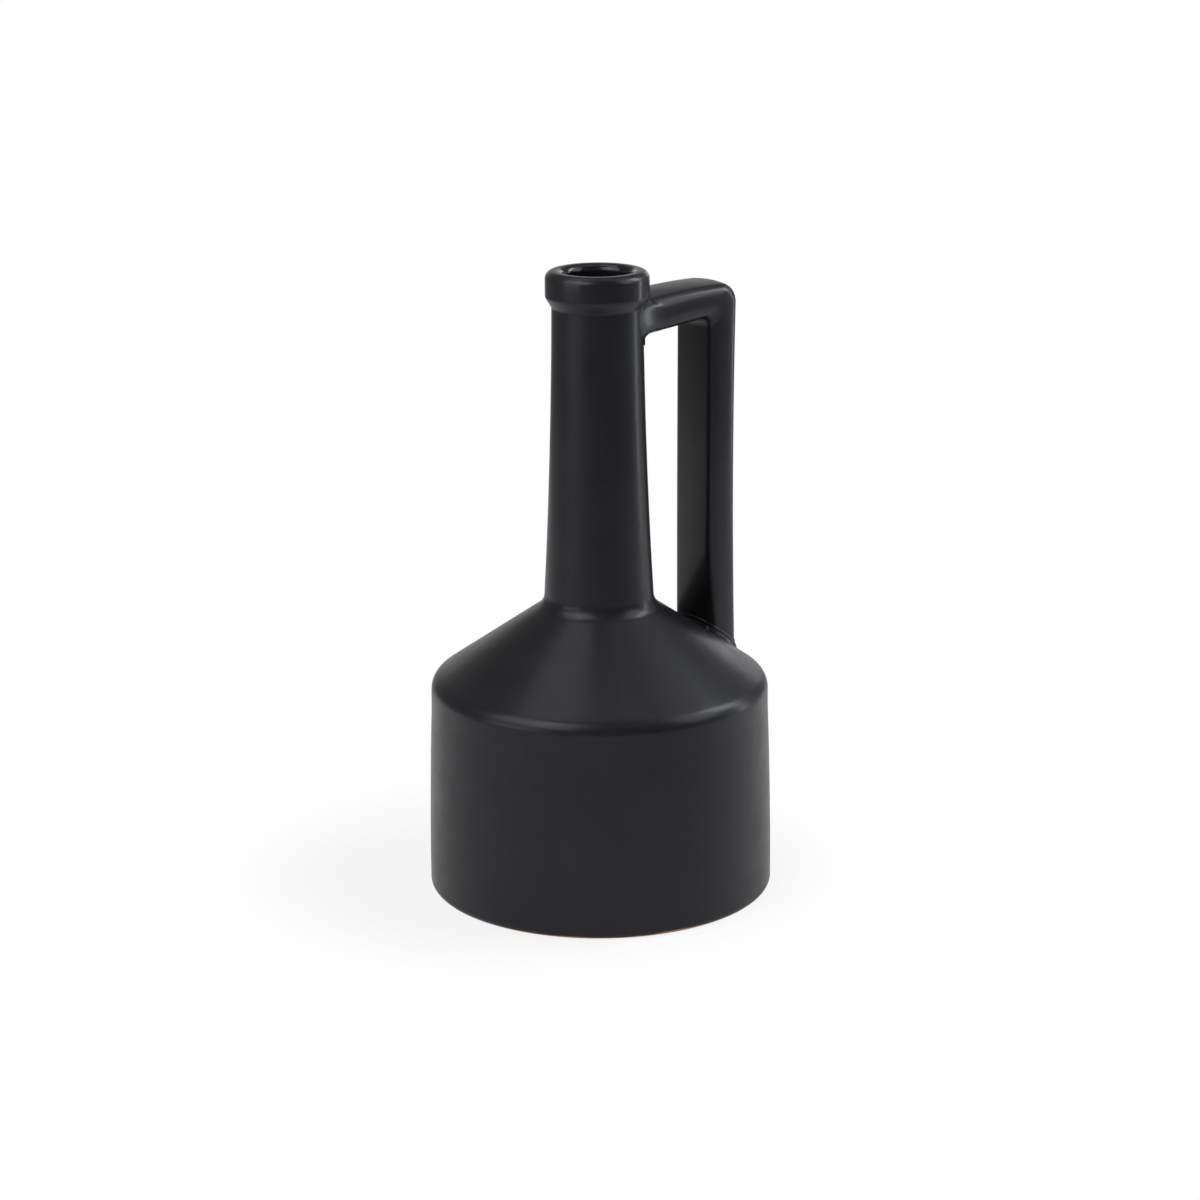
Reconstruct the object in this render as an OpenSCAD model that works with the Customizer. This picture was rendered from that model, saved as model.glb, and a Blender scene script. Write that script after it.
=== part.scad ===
// Stoneware jug vase: a low wide body, a shoulder like a flat cone, a tall tapering neck
// that ends in a rolled collar, and a squared strap handle from the collar to the shoulder.
// Millimetres, +Z up. The origin is on the table under the middle of the foot, and the
// handle stands towards +X. The vase is built up from turned sections, luted with slip.

/* [Body] */
// Diameter of the body at the shoulder
body_d = 150.5; // [142:0.5:180]
// How far the foot stands out past the body
foot_spread = 1.8; // [0.6:0.1:4]
// Height of the shoulder's edge above the table
body_h = 95.5; // [70:0.5:150]
// Height of the cone from the shoulder's edge to the neck
shoulder_rise = 35; // [28:0.5:48]
// Radius of the shoulder's edge
shoulder_edge_r = 8; // [3:0.5:9]
// Thickness of the body's wall and shoulder
wall_t = 6; // [5:0.5:8]

/* [Foot] */
// Thickness of the base
floor_t = 8; // [7:0.5:14]
// Width of the ring that stands on the table
foot_ring_w = 10; // [6:0.5:20]
// Depth of the hollow inside that ring
foot_recess = 2; // [1:0.25:3]
// Radius of the foot's outer edge
foot_edge_r = 3; // [1.5:0.25:4]

/* [Neck] */
// Diameter of the neck where it leaves the shoulder
neck_foot_d = 49; // [44:0.5:54]
// Diameter of the neck under the collar
neck_top_d = 40; // [37:0.5:42]
// How much slimmer the neck's middle is than a straight cone
neck_waist = 0.8; // [0:0.1:1.2]
// Length of the neck from the shoulder to the collar
neck_h = 132.5; // [90:0.5:180]
// Thickness of the neck's wall at its foot
neck_wall_t = 5.5; // [4.5:0.25:7]
// Radius of the hollow blend between neck and shoulder
neck_blend_r = 8; // [2:0.5:8]

/* [Collar] */
// Diameter of the collar
collar_d = 45.5; // [43:0.1:50]
// Height over which the neck flares out into the collar
collar_flare_h = 4.5; // [3:0.1:14]
// Height of the collar's straight band
collar_band_h = 11.5; // [6:0.1:18]
// Diameter of the mouth
mouth_d = 29.3; // [26:0.1:31]
// Radius of the lip's outer side
lip_out_r = 3.6; // [2:0.1:5]
// Radius of the lip's inner side
lip_in_r = 3.2; // [1.5:0.1:4]

/* [Handle] */
// Width of the strap across the handle
strap_w = 28.2; // [20:0.2:30]
// Thickness of the upright leg
leg_t = 16.8; // [10:0.2:20]
// Thickness of the arm
arm_t = 15.6; // [10:0.2:18]
// Radius of the strap's four long edges
strap_edge_r = 3.25; // [2:0.25:4.5]
// How much the strap's two wide faces are crowned
strap_crown = 1; // [0:0.1:1.6]
// How much the strap's two narrow sides are rounded out
side_crown = 1.4; // [0:0.1:1.6]
// Distance from the body's side in to the leg's outer face
leg_inset = 4.2; // [3.8:0.2:14]
// Drop from the rim to the top of the arm
arm_drop = 11.3; // [11:0.1:30]
// How much higher the arm's top is at its corner than at the neck
arm_rise = 2; // [0:0.25:6]
// How much thicker the arm is at the neck than at its corner
arm_taper = 0.7; // [0:0.1:2]
// How far the arm's top is arched up between its ends
arm_arch = 0.8; // [0:0.1:1.5]
// How far the leg's outer face is drawn in between its ends
leg_waist = 1.2; // [0:0.1:2]
// How much further out each of the leg's wide faces stands at its foot
leg_spread = 0.4; // [0:0.1:1.5]
// Radius of the handle's corner, outside
corner_out_r = 8; // [5:0.5:16]
// Radius of the handle's corner, inside
corner_in_r = 4; // [2:0.5:10]
// Length of the blend along the arm's two sides
side_blend = 8; // [4:0.5:10]
// Length of the blend under the arm
under_blend = 4.5; // [2:0.5:8]
// Length of the blend over the arm
top_blend = 2; // [1:0.25:4]
// Length of the blend up the leg from the shoulder
leg_blend = 4.5; // [2:0.5:9]
// How far the leg's blend reaches out over the shoulder
leg_reach = 1.5; // [1:0.25:4]

/* [Joints] */
// Thickness of the slip in each joint
slip_t = 0.8; // [0.5:0.1:1.2]
// Height of the tongue that locates one section in the next
step_h = 4; // [3:0.25:5]
// How far the neck's tongue reaches below its seat
neck_tongue_h = 1.5; // [1:0.25:2]
// How far the slip stands out round the handle's two ends
slip_bead = 0.5; // [0.2:0.1:1]
// Clearance between the handle's slip and the clay on both its sides
slip_clearance = 0.2; // [0.15:0.05:0.25]
// Thickness of the glaze inside
glaze_t = 0.4; // [0.3:0.1:0.8]

/* [Hidden] */
$fn = 96;

black_clay = "#2b2c2e";
bare_clay = "#b98f63";
slip_clay = "#3b3a39";
liner_black = "#161719";

// Steps in a rounded corner, in the wall's flare, in the neck and in the handle
arc_steps = 8;
flare_steps = 7;
waist_steps = 8;
edge_steps = 4;
wide_steps = 8;
thick_steps = 3;
blend_steps = 5;
arm_steps = 6;
corner_steps = 7;
leg_steps = 9;
cap_steps = 6;

body_r = body_d / 2;
neck_foot_r = neck_foot_d / 2;
neck_top_r = neck_top_d / 2;
collar_r = collar_d / 2;
mouth_r = mouth_d / 2;

// Heights of the neck's foot, the neck's top and the rim
neck_z = body_h + shoulder_rise;
neck_top_z = neck_z + neck_h;
flare_top_z = neck_top_z + collar_flare_h;
rim_z = flare_top_z + collar_band_h;

// The shoulder's slope
slope = atan(shoulder_rise / (body_r - neck_foot_r));

function mix(a, b, k) = a + (b - a) * k;
function bowed(k) = 4 * k * (1 - k);
function unit(v) = v / norm(v);
function wrapped(a) = (a + 540) % 360 - 180;
function direction(v) = atan2(v[1], v[0]);

// Points of an arc of radius r that rounds the corner p between the points a and b
function rounded(a, p, b, r) =
    let (
        u = unit(a - p),
        v = unit(b - p),
        half = acos(u * v) / 2,
        centre = p + unit(u + v) * r / sin(half),
        first = direction(p + u * r / tan(half) - centre),
        turn = wrapped(direction(p + v * r / tan(half) - centre) - first)
    )
    [for (i = [0:arc_steps])
        let (angle = first + turn * i / arc_steps)
        centre + r * [cos(angle), sin(angle)]];

// Outer surface of the shoulder's cone, and a surface that lies the wall and depth below it
function cone_z(r) = body_h + (body_r - r) * tan(slope);
function under_z(r, depth = 0) = cone_z(r) - (wall_t + depth) / cos(slope);

// Joint between wall and shoulder, a little below the shoulder's inner corner
inner_r = body_r - wall_t;
inner_corner_z = under_z(inner_r);
seam_below_corner = 3;
seam_z = inner_corner_z - seam_below_corner - step_h - slip_t;
seam_mid_r = body_r - wall_t / 2;

// Outer radius of the body's wall at a height: it flares out from that joint down
function wall_r(z) = body_r + foot_spread * max(0, 1 - pow(z / seam_z, 2));

// Heights between two levels at which the wall has a point
function wall_levels(low, high) = concat(
    [low],
    [for (i = [1:flare_steps]) let (z = seam_z * i / flare_steps) if (z > low && z < high) z],
    [high]
);

// Outer radius of the neck, a cone whose middle is drawn in by the waist, and of neck and
// collar together
function neck_r(z) =
    let (k = (z - neck_z) / neck_h)
    mix(neck_foot_r, neck_top_r, k) - neck_waist * bowed(max(0, k));
function profile_r(z) =
    z < neck_top_z ? neck_r(z)
    : z < flare_top_z ? mix(neck_top_r, collar_r, (z - neck_top_z) / collar_flare_h)
    : collar_r;

// Points of the neck's outside above its foot
neck_side = [for (i = [1:waist_steps]) let (z = neck_z + neck_h * i / waist_steps) [neck_r(z), z]];

// Bore of the neck at its top and its foot
bore_top_r = mouth_r + glaze_t;
bore_foot_r = neck_foot_r - neck_wall_t;

// Joint between base and wall: a ledge round the base, whose floor is the tongue
ledge_z = floor_t - step_h;
floor_tongue_r = wall_r(floor_t) - wall_t - slip_t;

// Joint between shoulder and neck: a flat seat with the neck's tongue inside it
neck_seat_z = under_z(bore_foot_r) + neck_tongue_h;
neck_mid_r = (neck_foot_r + bore_foot_r) / 2;
seat_hole_r = neck_mid_r + slip_t;
seat_out_r = neck_foot_r + (neck_z - neck_seat_z) / tan(slope);

// Joint between neck and collar
collar_mid_r = (neck_top_r + bore_top_r) / 2;
lip_share = min(1, (collar_r - mouth_r) / (lip_out_r + lip_in_r));

// Inside contour from the middle of the floor up to the collar, a depth inside the clay's face
function inside_line(depth) = concat(
    [[0, floor_t + depth]],
    [for (z = wall_levels(floor_t + depth, under_z(inner_r - depth, depth)))
        [wall_r(z) - wall_t - depth, z]],
    [[bore_foot_r - depth, under_z(bore_foot_r - depth, depth)]],
    [[bore_top_r - depth, neck_top_z + step_h + slip_t]]
);

function reversed(points) = [for (i = [len(points) - 1:-1:0]) points[i]];

// Slip in a stepped joint between two turned sections
function stepped_slip(out_low, out_high, mid_r, in_r, z) = [
    [mid_r, z],
    [out_low, z],
    [out_high, z + slip_t],
    [mid_r + slip_t, z + slip_t],
    [mid_r + slip_t, z + step_h + slip_t],
    [in_r, z + step_h + slip_t],
    [in_r, z + step_h],
    [mid_r, z + step_h]
];

// Places of the handle: the leg's two faces, how far its blend reaches out on the shoulder,
// and the arm's two faces at the corner
leg_out_x = body_r - leg_inset;
leg_in_x = leg_out_x - leg_t;
foot_reach = min(leg_reach, (leg_inset - leg_spread - slip_bead) / 2);
arm_top_z = rim_z - arm_drop;
arm_low_z = arm_top_z - arm_t;

// Points of the strap's section as [angle of the face, place across, place through]. Round
// each corner the angle turns, and along each side only the place moves.
corners = [[1, 1], [-1, 1], [-1, -1], [1, -1]];
strap_points = [for (q = [0:3])
    let (here = corners[q], next = corners[(q + 1) % 4], sides = q % 2 == 0 ? wide_steps : thick_steps)
    each concat(
        [for (i = [0:edge_steps]) concat([90 * (q + i / edge_steps)], here)],
        [for (i = [1:sides - 1]) concat([90 * (q + 1)], mix(here, next, i / sides))]
    )
];

// Place of a section's point on a flat strap, from -1 to 1 across and through it
function flat_across(p) = mix(cos(p[0]), p[1], 1 - 2 * strap_edge_r / strap_w);
function flat_through(p) = mix(sin(p[0]), p[2], 1 - 2 * strap_edge_r / arm_t);

// Distance of a section's point from the strap's middle, across, and its share of the
// thickness, from 0 on the face towards the hand to 1 on the outer face, with the crowns
function across(p) = flat_across(p) * (strap_w / 2 - side_crown * pow(flat_through(p), 2));
function through(p) =
    0.5 + flat_through(p) * (0.5 - strap_crown / arm_t * pow(flat_across(p), 2));

// Curve that leads from the strap's side into the surface it stands on: u is 1 on the side
// and 0 on the surface, and the point is [distance along the strap, distance out of it]
function blended(u, side, corner, surface) =
    (1 - u) * (1 - u) * surface + 2 * u * (1 - u) * corner + u * u * side;

// Middle of the shoulder's rounded edge, as [radius, height]
edge_middle = [body_r - shoulder_edge_r, cone_z(body_r - shoulder_edge_r) - shoulder_edge_r / cos(slope)];

// Surfaces that the handle's two ends lie on, lifted by a gap: the leg stands on the cone and
// on its rounded edge
function on_neck(y, z, gap) = [sqrt(pow(profile_r(z) + gap, 2) - y * y), y, z];
function over_edge(reach, r) = edge_middle[1] + sqrt(pow(reach, 2) - pow(r - edge_middle[0], 2));
function on_shoulder(x, y, gap) =
    let (r = norm([x, y]), reach = shoulder_edge_r + gap)
    [x, y, r > edge_middle[0] + reach * sin(slope) ? over_edge(reach, r) : cone_z(r) + gap / cos(slope)];

// Length and reach of the arm's blend at a point, from its sides to its top and underside
function arm_blend(p) =
    mix(sin(p[0]) > 0 ? top_blend : under_blend, side_blend, pow(cos(p[0]), 2));
arm_reach_share = 0.35;
function arm_reach(p) = mix(1, arm_reach_share, pow(cos(p[0]), 2)) * arm_blend(p);

// Height of the arm at a distance from the axis, and where its corner begins
function corner_x(p) = mix(leg_in_x - corner_in_r, leg_out_x - corner_out_r, through(p));
function arm_z(p, x) =
    mix(arm_low_z, arm_top_z, through(p))
    - mix(arm_rise + arm_taper, arm_rise, through(p)) * (corner_x(p) - x) / (corner_x(p) - neck_top_r);

// One point of the handle in each stretch, from the neck to the shoulder
function arm_end_point(p, u, gap) =
    let (
        y = across(p),
        z = arm_z(p, neck_top_r),
        out = [cos(p[0]), sin(p[0])],
        root = on_neck(y, z, gap)[0],
        foot = on_neck(y + arm_reach(p) * out[0], z + arm_reach(p) * out[1], gap)[0],
        at = blended(u, [root + arm_blend(p), 0], [root, 0], [foot, arm_reach(p)])
    )
    [at[0], y + at[1] * out[0], z + at[1] * out[1]];
function arm_point(p, k) =
    let (
        start = arm_end_point(p, 1, slip_t),
        x = mix(start[0], corner_x(p), k),
        z = mix(start[2], arm_z(p, corner_x(p)), k)
    )
    [x, across(p), z + arm_arch * through(p) * bowed(k)];
function corner_point(p, turn) =
    let (
        inner = [leg_in_x, arm_low_z] + corner_in_r * [sin(turn) - 1, cos(turn) - 1],
        outer = [leg_out_x, arm_top_z] + corner_out_r * [sin(turn) - 1, cos(turn) - 1],
        at = mix(inner, outer, through(p))
    )
    [at[0], across(p), at[1]];
function leg_end_point(p, u, gap) =
    let (
        y = across(p),
        x = mix(leg_in_x - leg_spread, leg_out_x + leg_spread, through(p)),
        out = [sin(p[0]), cos(p[0])],
        root = on_shoulder(x, y, gap)[2],
        foot = on_shoulder(x + foot_reach * out[0], y + foot_reach * out[1], gap)[2],
        at = blended(u, [root + leg_blend, 0], [root, 0], [foot, foot_reach])
    )
    [x + at[1] * out[0], y + at[1] * out[1], at[0]];
function leg_point(p, k) =
    mix(corner_point(p, 90), leg_end_point(p, 1, slip_t), k)
    - [leg_waist * through(p) * bowed(k), 0, 0];

// Loops that close an end: each shrinks towards the middle and stays on the surface, and
// they lie closer together towards the rim, where the surface turns away most. The middle
// of the arm's end is at its mid height, and the middle of the leg's at its mid depth.
function cap_share(i) = sin(90 * i / cap_steps);
arm_mid_z = (arm_low_z + arm_top_z - arm_taper) / 2 - arm_rise;
leg_mid_x = (leg_in_x + leg_out_x) / 2;
function neck_loop(share, gap, grow = 0) = [for (p = strap_points)
    let (
        rim = arm_end_point(p, 0, gap),
        y = (rim[1] + grow * cos(p[0])) * share,
        z = mix(arm_mid_z, rim[2] + grow * sin(p[0]), share)
    )
    on_neck(y, z, gap)];
function shoulder_loop(share, gap, grow = 0) = [for (p = strap_points)
    let (
        rim = leg_end_point(p, 0, gap),
        x = mix(leg_mid_x, rim[0] + grow * sin(p[0]), share),
        y = (rim[1] + grow * cos(p[0])) * share
    )
    on_shoulder(x, y, gap)];

// Solid through a row of loops, closed by a point before the first and after the last
module skinned(first, loops, last) {
    count = len(loops[0]);
    points = concat([first], [for (loop = loops) each loop], [last]);
    end = len(points) - 1;
    polyhedron(points, concat(
        [for (j = [0:count - 1]) [0, 1 + j, 1 + (j + 1) % count]],
        [for (i = [0:len(loops) - 2], j = [0:count - 1])
            let (a = 1 + i * count + j, b = 1 + i * count + (j + 1) % count)
            each [[a, b + count, b], [a, a + count, b + count]]],
        [for (j = [0:count - 1]) [end, end - count + (j + 1) % count, end - count + j]]
    ));
}

module turned(outline) {
    rotate_extrude() polygon(outline);
}

module base_disc() {
    edge = wall_r(foot_edge_r);
    ring_out = edge - foot_edge_r;
    ring_in = ring_out - foot_ring_w;
    color(bare_clay) turned(concat(
        [[0, foot_recess], [ring_in - foot_recess, foot_recess], [ring_in, 0]],
        rounded([ring_in, 0], [edge, 0], [edge, floor_t], foot_edge_r),
        [[wall_r(ledge_z), ledge_z]],
        [[floor_tongue_r, ledge_z], [floor_tongue_r, floor_t], [0, floor_t]]
    ));
}

module base_lute() {
    top = ledge_z + slip_t;
    color(slip_clay) turned([
        [floor_tongue_r, ledge_z],
        [wall_r(ledge_z), ledge_z],
        [wall_r(top), top],
        [floor_tongue_r + slip_t, top],
        [floor_tongue_r + slip_t, floor_t],
        [floor_tongue_r, floor_t]
    ]);
}

module body_wall() {
    color(black_clay) turned(concat(
        [[wall_r(floor_t) - wall_t, ledge_z + slip_t]],
        [for (z = wall_levels(ledge_z + slip_t, seam_z)) [wall_r(z), z]],
        [[seam_mid_r, seam_z], [seam_mid_r, seam_z + step_h]],
        reversed([for (z = wall_levels(floor_t, seam_z + step_h)) [wall_r(z) - wall_t, z]])
    ));
}

module shoulder_lute() {
    color(slip_clay) turned(stepped_slip(wall_r(seam_z), wall_r(seam_z + slip_t), seam_mid_r,
        inner_r, seam_z));
}

module shoulder() {
    color(black_clay) turned(concat(
        [[seam_mid_r + slip_t, seam_z + slip_t], [wall_r(seam_z + slip_t), seam_z + slip_t]],
        rounded([body_r, 0], [body_r, body_h], [neck_foot_r, neck_z], shoulder_edge_r),
        [[seat_out_r, neck_seat_z], [seat_hole_r, neck_seat_z], [seat_hole_r, under_z(seat_hole_r)]],
        [[inner_r, inner_corner_z]],
        [[inner_r, seam_z + step_h + slip_t], [seam_mid_r + slip_t, seam_z + step_h + slip_t]]
    ));
}

module neck_lute() {
    seat = neck_seat_z + slip_t;
    color(slip_clay) turned(concat(
        [[neck_mid_r, under_z(neck_mid_r)], [seat_hole_r, under_z(seat_hole_r)]],
        [[seat_hole_r, neck_seat_z], [seat_out_r, neck_seat_z]],
        rounded([body_r, body_h], [neck_foot_r, neck_z], neck_side[0], neck_blend_r),
        [[neck_foot_r, neck_z], [neck_r(seat), seat], [neck_mid_r, seat]]
    ));
}

module neck() {
    seat = neck_seat_z + slip_t;
    color(black_clay) turned(concat(
        [[neck_mid_r, seat], [neck_r(seat), seat], [neck_foot_r, neck_z]],
        neck_side,
        [[collar_mid_r, neck_top_z], [collar_mid_r, neck_top_z + step_h]],
        [[bore_top_r, neck_top_z + step_h], [bore_foot_r, under_z(bore_foot_r)]],
        [[neck_mid_r, under_z(neck_mid_r)]]
    ));
}

module collar_lute() {
    color(slip_clay) turned(stepped_slip(profile_r(neck_top_z), profile_r(neck_top_z + slip_t),
        collar_mid_r, bore_top_r, neck_top_z));
}

module rim_collar() {
    low = neck_top_z + slip_t;
    high = low + step_h;
    color(black_clay) turned(concat(
        [[collar_mid_r + slip_t, low], [profile_r(low), low], [collar_r, flare_top_z]],
        rounded([collar_r, 0], [collar_r, rim_z], [0, rim_z], lip_out_r * lip_share),
        rounded([collar_r, rim_z], [mouth_r, rim_z], [mouth_r, 0], lip_in_r * lip_share),
        [[mouth_r, high], [collar_mid_r + slip_t, high]]
    ));
}

module handle() {
    color(black_clay) skinned(
        on_neck(0, arm_mid_z, slip_t),
        concat(
            [for (i = [1:cap_steps - 1]) neck_loop(cap_share(i), slip_t)],
            [for (i = [0:blend_steps]) [for (p = strap_points) arm_end_point(p, i / blend_steps, slip_t)]],
            [for (i = [1:arm_steps]) [for (p = strap_points) arm_point(p, i / arm_steps)]],
            [for (i = [1:corner_steps]) [for (p = strap_points) corner_point(p, 90 * i / corner_steps)]],
            [for (i = [1:leg_steps]) [for (p = strap_points) leg_point(p, i / leg_steps)]],
            [for (i = [1:blend_steps])
                [for (p = strap_points) leg_end_point(p, 1 - i / blend_steps, slip_t)]],
            [for (i = [1:cap_steps - 1]) shoulder_loop(cap_share(cap_steps - i), slip_t)]
        ),
        on_shoulder(leg_mid_x, 0, slip_t)
    );
}

module handle_neck_lute() {
    low = slip_clearance;
    high = slip_t - slip_clearance;
    color(slip_clay) skinned(
        on_neck(0, arm_mid_z, low),
        concat(
            [for (i = [1:cap_steps]) neck_loop(cap_share(i), low)],
            [neck_loop(1, slip_t / 2, slip_bead)],
            [for (i = [0:cap_steps - 1]) neck_loop(cap_share(cap_steps - i), high)]
        ),
        on_neck(0, arm_mid_z, high)
    );
}

module handle_foot_lute() {
    low = slip_clearance;
    high = slip_t - slip_clearance;
    color(slip_clay) skinned(
        on_shoulder(leg_mid_x, 0, high),
        concat(
            [for (i = [1:cap_steps]) shoulder_loop(cap_share(i), high)],
            [shoulder_loop(1, slip_t / 2, slip_bead)],
            [for (i = [0:cap_steps - 1]) shoulder_loop(cap_share(cap_steps - i), low)]
        ),
        on_shoulder(leg_mid_x, 0, low)
    );
}

module liner_glaze() {
    color(liner_black) turned(concat(inside_line(0), reversed(inside_line(glaze_t))));
}

base_disc();
base_lute();
body_wall();
shoulder_lute();
shoulder();
neck_lute();
neck();
collar_lute();
rim_collar();
handle();
handle_neck_lute();
handle_foot_lute();
liner_glaze();
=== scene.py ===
"""Looks of the jug vase: turned pieces, strap handle, glazes, a plain studio and the camera.

Lengths are millimetres until a mesh is made, and the scene itself is in metres. The pieces
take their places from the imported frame: +Z up, the origin on the table under the middle of
the foot, and the handle towards +X.
"""
import math

import bpy
import numpy as np
from mathutils import Matrix, Vector, noise


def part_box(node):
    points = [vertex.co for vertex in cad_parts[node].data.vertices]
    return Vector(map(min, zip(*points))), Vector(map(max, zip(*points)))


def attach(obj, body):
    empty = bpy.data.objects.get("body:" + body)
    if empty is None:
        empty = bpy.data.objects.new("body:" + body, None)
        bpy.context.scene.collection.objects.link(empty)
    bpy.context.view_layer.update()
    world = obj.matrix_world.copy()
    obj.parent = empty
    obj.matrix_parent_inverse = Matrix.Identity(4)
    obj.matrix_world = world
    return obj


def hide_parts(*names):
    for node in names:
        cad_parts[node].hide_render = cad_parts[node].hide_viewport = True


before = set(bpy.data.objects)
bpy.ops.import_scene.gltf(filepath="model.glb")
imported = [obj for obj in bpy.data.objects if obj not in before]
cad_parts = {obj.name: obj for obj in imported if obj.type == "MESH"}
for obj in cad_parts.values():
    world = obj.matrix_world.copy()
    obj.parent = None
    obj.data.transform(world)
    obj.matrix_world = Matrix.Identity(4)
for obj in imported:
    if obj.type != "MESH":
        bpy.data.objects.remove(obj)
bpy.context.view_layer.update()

MM = 0.001


# Sizes read from the frame
def low_z(node):
    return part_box(node)[0].z / MM


def high_z(node):
    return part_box(node)[1].z / MM


def reach_x(node):
    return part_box(node)[1].x / MM


RIM_Z = high_z("rim_collar")
COLLAR_R = reach_x("rim_collar")
BODY_R = reach_x("shoulder")
FLOOR_T = high_z("base_disc")
LEDGE_Z = low_z("base_lute")
SEAM_Z = low_z("shoulder_lute")
SLIP_T = low_z("shoulder") - SEAM_Z
STEP_H = FLOOR_T - LEDGE_Z
NECK_SEAT_Z = high_z("shoulder")
NECK_TOP_Z = low_z("collar_lute")

# Driving sizes that no box of the frame gives, the same as in the part
FOOT_SPREAD = 1.8
FOOT_EDGE_R = 3
FOOT_RING_W = 10
FOOT_RECESS = 2
BODY_H = 95.5
SHOULDER_RISE = 35
SHOULDER_EDGE_R = 8
WALL_T = 6
NECK_FOOT_R = 24.5
NECK_TOP_R = 20
NECK_WAIST = 0.8
NECK_WALL_T = 5.5
NECK_BLEND_R = 8
COLLAR_FLARE_H = 4.5
MOUTH_R = 14.65
LIP_OUT_R = 3.6
LIP_IN_R = 3.2
GLAZE_T = 0.4
STRAP_W = 28.2
LEG_INSET = 4.2
LEG_T = 16.8
ARM_T = 15.6
STRAP_EDGE_R = 3.25
STRAP_CROWN = 1
SIDE_CROWN = 1.4
ARM_DROP = 11.3
ARM_RISE = 2
ARM_TAPER = 0.7
ARM_ARCH = 0.8
LEG_WAIST = 1.2
LEG_SPREAD = 0.4
CORNER_OUT_R = 8
CORNER_IN_R = 4
SIDE_BLEND = 8
UNDER_BLEND = 4.5
TOP_BLEND = 2
LEG_BLEND = 4.5
LEG_REACH = 1.5
ARM_REACH_SHARE = 0.35

# How much further the arm's sides run out along the arm and round the neck than the solid's do
SIDE_LEAD = 5.5
SIDE_REACH = 1.3

# Clearance between the handle's ends and the clay that they meet
HANDLE_GAP = 0.05

# Soft corners under the collar
FLARE_FOOT_R = 2
FLARE_TOP_R = 3

# Fineness of the meshes
TURNS = 192
LINE_STEP = 2.0
ARC_STEP_DEG = 6
ARC_LEAST_STEPS = 4
SHARP_DEG = 40

# Places nearer than these are one place: two levels, two points of a line, a point and the axis
LEVEL_GAP = 0.01
POINT_GAP = 1e-4
AXIS_GAP = 1e-6

NECK_Z = BODY_H + SHOULDER_RISE
FLARE_TOP_Z = NECK_TOP_Z + COLLAR_FLARE_H
SLOPE = math.atan2(SHOULDER_RISE, BODY_R - NECK_FOOT_R)


def mix(a, b, k):
    return a + (b - a) * k


def bowed(k):
    """0 at both ends of a stretch and 1 at its middle."""
    return 4 * k * (1 - k)


def unit(v):
    return v / np.linalg.norm(v)


# Outlines of the turned pieces, as rows of (radius, height)
def arc(before, corner, after, radius):
    """Points of an arc that rounds a corner of an outline."""
    before, corner, after = (np.array(p, float) for p in (before, corner, after))
    u, v = unit(before - corner), unit(after - corner)
    half = math.acos(np.clip(u @ v, -1, 1)) / 2
    centre = corner + unit(u + v) * radius / math.sin(half)
    first = corner + u * radius / math.tan(half) - centre
    last = corner + v * radius / math.tan(half) - centre
    start = math.atan2(first[1], first[0])
    turn = (math.atan2(last[1], last[0]) - start + math.pi) % (2 * math.pi) - math.pi
    steps = max(ARC_LEAST_STEPS, round(abs(math.degrees(turn)) / ARC_STEP_DEG))
    angles = start + turn * np.arange(steps + 1) / steps
    return centre + radius * np.column_stack([np.cos(angles), np.sin(angles)])


def filled(points):
    """The same outline with more points along its long stretches."""
    rows = [points[0]]
    for a, b in zip(points[:-1], points[1:]):
        count = max(1, round(np.linalg.norm(b - a) / LINE_STEP))
        rows += [mix(a, b, i / count) for i in range(1, count + 1)]
    return np.array(rows)


def wall_r(z):
    """Radius of the body's wall outside, which flares below the shoulder's seam."""
    return BODY_R + FOOT_SPREAD * max(0, 1 - (z / SEAM_Z) ** 2)


def neck_r(z):
    """Radius of the neck, for one height or for heights in a numpy array."""
    k = (z - NECK_Z) / (NECK_TOP_Z - NECK_Z)
    return mix(NECK_FOOT_R, NECK_TOP_R, k) - NECK_WAIST * bowed(np.maximum(0, k))


def profile_r(z):
    """Radius of neck and collar together, for heights in a numpy array."""
    flare = mix(NECK_TOP_R, COLLAR_R, (z - NECK_TOP_Z) / COLLAR_FLARE_H)
    return np.where(z < NECK_TOP_Z, neck_r(z), np.where(z < FLARE_TOP_Z, flare, COLLAR_R))


def cone_z(r):
    """Height of the shoulder's cone, outside."""
    return BODY_H + (BODY_R - r) * math.tan(SLOPE)


def under_z(r, depth=0):
    """Height of the shoulder's inside, or of a line at a depth inside it."""
    return cone_z(r) - (WALL_T + depth) / math.cos(SLOPE)


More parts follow.
